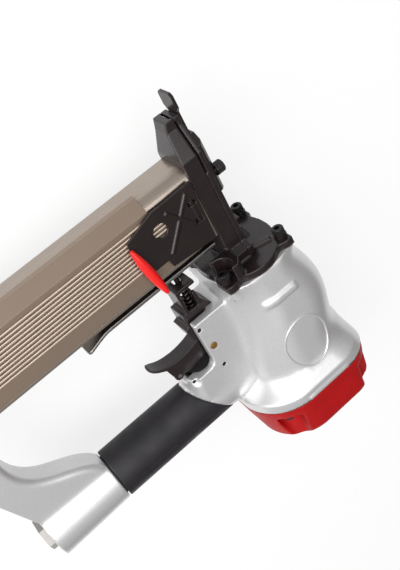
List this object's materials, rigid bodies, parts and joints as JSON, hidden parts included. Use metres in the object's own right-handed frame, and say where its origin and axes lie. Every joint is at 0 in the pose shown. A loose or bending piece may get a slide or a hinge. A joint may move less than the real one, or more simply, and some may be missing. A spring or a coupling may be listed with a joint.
{
  "type": "pneumatic stapler",
  "caption": "Hand-held pneumatic stapler with a drive head, red cap, rubber-covered handle, front-pivoted trigger, contact trip and a long side-loading magazine under the handle.",
  "frame": {"origin": "centre of the nose's end face, on the drive axis", "axes": "+Y up the drive axis from the nose to the cap, +X from the head back along the handle to the air inlet, +Z to the tool's left, the side with the magazine's sliding cover"},
  "size_m": [0.3175, 0.3013, 0.1028],
  "materials": {
    "body_paint": "satin silver-grey paint",
    "cap_paint": "semi-gloss deep red paint",
    "grip_rubber": "matte, lightly pebbled",
    "black_casting": "black oxide, satin",
    "black_screws": "black oxide",
    "bright_steel": "ground and polished",
    "black_steel": "blackened, satin",
    "spring_steel": "drawn wire and strip",
    "trigger_pin_metal": "yellow plated",
    "light_alloy": "machined, satin",
    "bronze_anodised": "bronze-grey anodised, drawn lengthways",
    "red_vinyl": "dipped vinyl",
    "black_plastic": "moulded",
    "seal_rubber": "oiled",
    "gasket_sheet": "pressed fibre sheet"
  },
  "bodies": {
    "housing": {"main_body": "body_paint", "tail_cap": "body_paint", "head_cap": "cap_paint", "grip_sleeve": "grip_rubber", "nose_base": "black_casting", "trip_bracket": "black_casting", "trip_cover": "black_casting", "front_plate": "black_casting", "plate_bolts": "black_screws", "trip_cover_bolts": "black_screws", "base_screws": "black_screws", "cap_screws": "black_screws", "exhaust_screw": "black_screws", "tail_screws": "black_screws", "hanger_bolts": "black_screws", "end_cap_screws": "black_screws", "magazine_screws": "black_screws", "roll_pins": "black_screws", "inlet_bushing": "bright_steel", "hanger_nuts": "bright_steel", "lever_pin": "bright_steel", "magazine_end_cap": "bright_steel", "flat_washers": "black_steel", "spring_washers": "black_steel", "latch_pin": "black_steel", "trip_spring": "spring_steel", "valve_spring": "spring_steel", "head_valve_spring": "spring_steel", "latch_spring": "spring_steel", "trigger_pin": "trigger_pin_metal", "cylinder_sleeve": "light_alloy", "magazine_rail": "light_alloy", "trigger_valve_body": "black_plastic", "cylinder_seals": "seal_rubber", "bumper": "seal_rubber", "base_gasket": "gasket_sheet", "cap_gasket": "gasket_sheet", "tail_gasket": "gasket_sheet"},
    "driver": {"piston": "light_alloy", "piston_ring": "seal_rubber", "driver_blade": "bright_steel", "driver_pin": "bright_steel"},
    "head_valve_group": {"head_valve": "black_plastic", "head_valve_seal": "seal_rubber"},
    "trip": {"contact_trip": "black_steel", "trip_arm": "black_steel", "trip_rivets": "black_steel"},
    "trigger_group": {"trigger": "black_casting", "contact_pin": "bright_steel"},
    "contact_lever_arm": {"contact_lever": "black_steel"},
    "stem": {"valve_stem": "bright_steel"},
    "cover": {"magazine_cover": "bronze_anodised"},
    "follower": {"pusher": "black_plastic", "pusher_band": "spring_steel", "pusher_drum": "light_alloy"},
    "latch": {"latch_plate": "black_steel", "latch_grip": "red_vinyl"},
    "release": {"release_lever": "bright_steel"},
    "deflector": {"exhaust_deflector": "black_plastic"}
  },
  "joints": [
    {"name": "piston_stroke", "type": "slide", "parent": "housing", "child": "driver", "axis": [0, -1, 0], "range_m": [0, 0.086]},
    {"name": "head_valve_lift", "type": "slide", "parent": "housing", "child": "head_valve_group", "axis": [0, 1, 0], "range_m": [0, 0.005], "stiffness_N_per_m": 1500, "springref_m": -0.006, "deforming": ["head_valve_spring"]},
    {"name": "trip_slide", "type": "slide", "parent": "housing", "child": "trip", "axis": [0, 1, 0], "range_m": [0, 0.0135], "stiffness_N_per_m": 600, "springref_m": -0.008, "deforming": ["trip_spring"]},
    {"name": "trigger_pull", "type": "hinge", "parent": "housing", "child": "trigger_group", "pos_m": [0.0536, 0.1609, 0], "axis": [0, 0, 1], "range_deg": [0, 7], "stiffness_Nm_per_rad": 0.4, "springref_deg": -8.59},
    {"name": "contact_lever_tilt", "type": "hinge", "parent": "trigger_group", "child": "contact_lever_arm", "pos_m": [0.0844, 0.1714, 0], "axis": [0, 0, -1], "range_deg": [0, 11.41]},
    {"name": "valve_stem_lift", "type": "slide", "parent": "housing", "child": "stem", "axis": [0, 1, 0], "range_m": [0, 0.0016], "deforming": ["valve_spring"]},
    {"name": "cover_slide", "type": "slide", "parent": "housing", "child": "cover", "axis": [1, 0, 0], "range_m": [0, 0.12]},
    {"name": "pusher_slide", "type": "slide", "parent": "housing", "child": "follower", "axis": [1, 0, 0], "range_m": [0, 0.15], "stiffness_N_per_m": 20, "springref_m": -0.3},
    {"name": "latch_pivot", "type": "hinge", "parent": "housing", "child": "latch", "pos_m": [0.0183, 0.0585, 0.0162], "axis": [0, -1, 0], "range_deg": [0, 15], "stiffness_Nm_per_rad": 0.4, "springref_deg": -11.46, "deforming": ["latch_spring"]},
    {"name": "lever_lift", "type": "hinge", "parent": "housing", "child": "release", "pos_m": [0.019, 0.0955, 0], "axis": [0, 0, 1], "range_deg": [0, 2.2], "stiffness_Nm_per_rad": 0.5, "springref_deg": -8.59},
    {"name": "exhaust_turn", "type": "hinge", "parent": "housing", "child": "deflector", "pos_m": [0, 0.276, 0], "axis": [0, 1, 0], "continuous": true}
  ],
  "couplings": [
    {"joint": "contact_lever_tilt", "follows": "trip_slide", "rad_per_m": 14.75},
    {"joint": "valve_stem_lift", "follows": "trigger_pull", "m_per_rad": 0.013}
  ]
}
